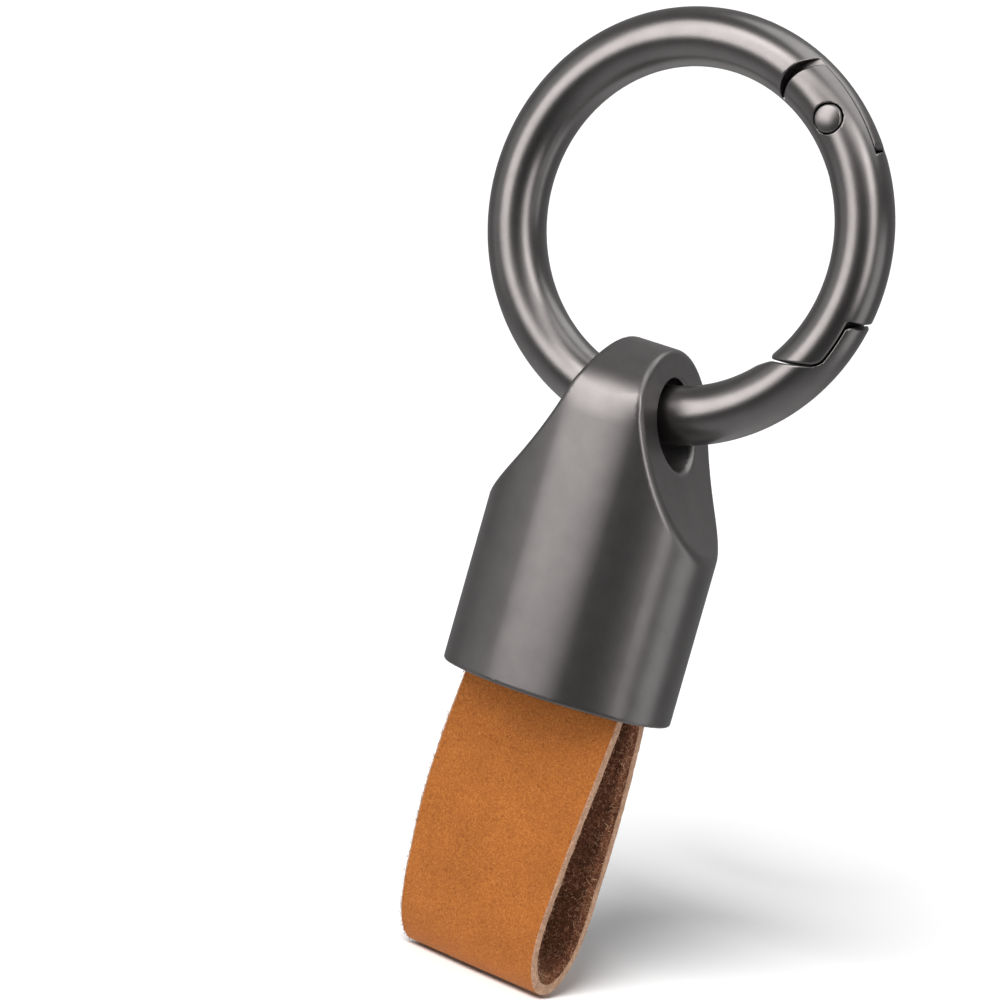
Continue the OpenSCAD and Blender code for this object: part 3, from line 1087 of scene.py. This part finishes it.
def raw_edge():
    return fuzzy("raw_edge", "edge", 0.2)


def fibre():
    return fuzzy("fibre", "fibre", 0.5)


# ---- stage ----


LIT_CENTRE = Vector((0, 0, -0.022))
FLOOR_DROP = 0.0001  # how far the floor lies below the fob
FLOOR_RINGS = (0.02, 0.1, 0.5, 4, 60)
SUN_POWER, SUN_SIZE = 6.0, 23  # its size in degrees
SUN_RIGHT, SUN_DOWN = 0.28, 0.6  # for each step away from the camera
ROOM_BEHIND, ROOM_FRONT = (0.3, 0.3, 0.3), (0.02, 0.022, 0.023)
ROOM_BELOW, ROOM_LIGHT = 0.35, 0.35


def softbox(name, place, width, height, power, tint=WHITE):
    """A soft rectangular light that faces the fob."""
    light = bpy.data.lights.new(name, "AREA")
    light.shape = "RECTANGLE"
    light.size, light.size_y = width, height
    light.energy, light.color = power, tint
    obj = bpy.data.objects.new(name, light)
    obj.location = place
    obj.rotation_euler = (LIT_CENTRE - place).to_track_quat("-Z", "Y").to_euler()
    bpy.context.scene.collection.objects.link(obj)


def studio_world(azimuth):
    """White surroundings, and for reflections a dim room that is lighter behind and below."""
    w = bpy.data.worlds.new("studio")
    w.use_nodes = True
    paths = add(w, "LightPath")
    direction = add(w, "TexCoord").outputs["Generated"]
    split = add(w, "SeparateXYZ")
    link(w, direction, split.inputs[0])
    ahead = add(w, "VectorMath", {"operation": "DOT_PRODUCT"})
    link(w, direction, ahead.inputs[0])
    ahead.inputs[1].default_value = (-math.sin(azimuth), math.cos(azimuth), 0)
    depth = levels(w, ahead.outputs["Value"], 0, 1, from_low=-1, from_high=1)
    walls = ramp(w, depth, (0.25, ROOM_FRONT), (1, ROOM_BEHIND))
    below = levels(w, split.outputs["Z"], 0, ROOM_BELOW, from_low=-0.35, from_high=-0.8)
    room = add(w, "Background", Strength=1)
    link(w, blended(w, walls, below, "ADD"), room.inputs["Color"])
    white = w.node_tree.nodes["Background"]
    dial(white, Color=(*WHITE, 1))
    seen = levels(w, paths.outputs["Is Camera Ray"], ROOM_LIGHT, 1, from_low=0, from_high=1)
    link(w, seen, white.inputs["Strength"])
    mix = add(w, "MixShader")
    link(w, paths.outputs["Is Glossy Ray"], mix.inputs["Fac"])
    link(w, white.outputs[0], mix.inputs[1])
    link(w, room.outputs[0], mix.inputs[2])
    link(w, mix.outputs[0], w.node_tree.nodes["World Output"].inputs["Surface"])
    return w


def studio_floor(z):
    """A wide floor whose faces grow with distance."""
    angles = np.linspace(0, 2 * math.pi, 97)[:-1]
    points = [(0, 0, z)]
    points += [(r * math.cos(t), r * math.sin(t), z) for r in FLOOR_RINGS for t in angles]
    n = len(angles)
    faces = [(0, 1 + k, 1 + (k + 1) % n) for k in range(n)]
    for b in range(1, 1 + (len(FLOOR_RINGS) - 1) * n, n):
        faces += [(b + k, b + n + k, b + n + (k + 1) % n, b + (k + 1) % n) for k in range(n)]
    mesh = bpy.data.meshes.new("floor")
    mesh.from_pydata(points, [], faces)
    floor = bpy.data.objects.new("floor", mesh)
    bpy.context.scene.collection.objects.link(floor)
    m, shader = new_material("floor")
    white = (*bpy.context.scene.fob_looks.floor, 1)
    dial(shader, Base_Color=white, Roughness=0.9, Specular_IOR_Level=0.1)
    mesh.materials.append(m)
    floor.visible_glossy = False
    floor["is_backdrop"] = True
    return floor


def build_stage(s, scene):
    """The camera, the floor and the lights."""
    scene.view_settings.view_transform = "Standard"
    a, e, roll = s.azimuth, s.elevation, s.roll
    back = Vector((math.sin(a) * math.cos(e), -math.cos(a) * math.cos(e), math.sin(e)))
    right = Vector((math.cos(a), math.sin(a), 0))
    up = back.cross(right)
    side = right * math.cos(roll) + up * math.sin(roll)
    rise = up * math.cos(roll) - right * math.sin(roll)
    camera = bpy.data.objects.new("camera", bpy.data.cameras.new("camera"))
    camera.matrix_world = Matrix((
        (side.x, rise.x, back.x, 0),
        (side.y, rise.y, back.y, 0),
        (side.z, rise.z, back.z, 0),
        (0, 0, 0, 1),
    ))
    camera.location = side * s.aim_right + rise * s.aim_up + back * s.distance
    camera.data.lens = s.lens
    camera.data.clip_start, camera.data.clip_end = 0.01, 200
    scene.collection.objects.link(camera)
    scene.camera = camera
    scene.world = studio_world(a)
    floor = studio_floor(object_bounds()[0].z - FLOOR_DROP)

    def around(azimuth, elevation, distance):
        """The place at those angles from the camera's side of the fob, in degrees."""
        t, f = a + math.radians(azimuth), math.radians(elevation)
        level = math.cos(f)
        way = Vector((math.sin(t) * level, -math.cos(t) * level, math.sin(f)))
        return LIT_CENTRE + distance * way

    only_object = bpy.data.collections.new("only_object")
    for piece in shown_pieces():
        only_object.objects.link(piece)
    softbox("left_softbox", around(-54, 20, 0.5), 0.32, 0.5, power=1.4, tint=WARM)
    softbox("right_softbox", around(29, 22, 0.5), 0.17, 0.56, power=0.66, tint=WARM)
    softbox("front_softbox", around(-8, 45, 0.5), 0.66, 0.2, power=0.6, tint=WARM)
    softbox("left_fill", around(-92, 5, 0.5), 0.26, 0.5, power=0.11)
    softbox("side_softbox", around(72, -5, 0.5), 0.3, 0.45, power=0.3)
    softbox("top_softbox", around(110, 76, 0.6), 0.6, 0.6, power=1.3)
    for light in [o for o in scene.objects if o.type == "LIGHT"]:
        light.light_linking.receiver_collection = only_object
    sun = bpy.data.lights.new("sun", "SUN")
    sun.energy, sun.angle = SUN_POWER, math.radians(SUN_SIZE)
    key = bpy.data.objects.new("sun", sun)
    away = Vector((-back.x, -back.y, 0)).normalized()
    way = away + right * SUN_RIGHT - Vector((0, 0, SUN_DOWN))
    key.rotation_euler = way.to_track_quat("-Z", "Y").to_euler()
    key.visible_glossy = False
    only_floor = bpy.data.collections.new("only_floor")
    only_floor.objects.link(floor)
    key.light_linking.receiver_collection = only_floor
    scene.collection.objects.link(key)


class FOB_OT_stage(bpy.types.Operator):
    """Builds the floor, the studio light and the camera"""

    bl_idname = "fob.stage"
    bl_label = "Stage"

    def execute(self, context):
        build_stage(context.scene.fob_stage, context.scene)
        return {"FINISHED"}


class FOB_PT_panel(bpy.types.Panel):
    """Lists the builder's steps"""

    bl_label = "Key Fob"
    bl_space_type = "VIEW_3D"
    bl_region_type = "UI"
    bl_category = "Key Fob"

    def draw(self, context):
        for operator in OPERATORS:
            self.layout.operator(operator.bl_idname)


SETTINGS = {
    "fob_ring": RingSettings, "fob_cap": CapSettings, "fob_strap": StrapSettings,
    "fob_looks": LookSettings, "fob_stage": StageSettings,
}
OPERATORS = (
    FOB_OT_ring_frame, FOB_OT_ring_gate, FOB_OT_rivet, FOB_OT_cap, FOB_OT_strap,
    FOB_OT_fibres, FOB_OT_screws, FOB_OT_spring, FOB_OT_stage,
)


def register():
    for cls in (*SETTINGS.values(), *OPERATORS, FOB_PT_panel):
        bpy.utils.register_class(cls)
    for name, cls in SETTINGS.items():
        setattr(bpy.types.Scene, name, PointerProperty(type=cls))


def unregister():
    for name in SETTINGS:
        delattr(bpy.types.Scene, name)
    for cls in reversed((*SETTINGS.values(), *OPERATORS, FOB_PT_panel)):
        bpy.utils.unregister_class(cls)


def main():
    register()
    bpy.ops.fob.ring_frame()
    bpy.ops.fob.ring_gate()
    bpy.ops.fob.rivet()
    bpy.ops.fob.cap()
    bpy.ops.fob.strap()
    bpy.ops.fob.fibres()
    bpy.ops.fob.screws()
    bpy.ops.fob.spring()
    bpy.ops.fob.stage()


if __name__ == "__main__":
    main()
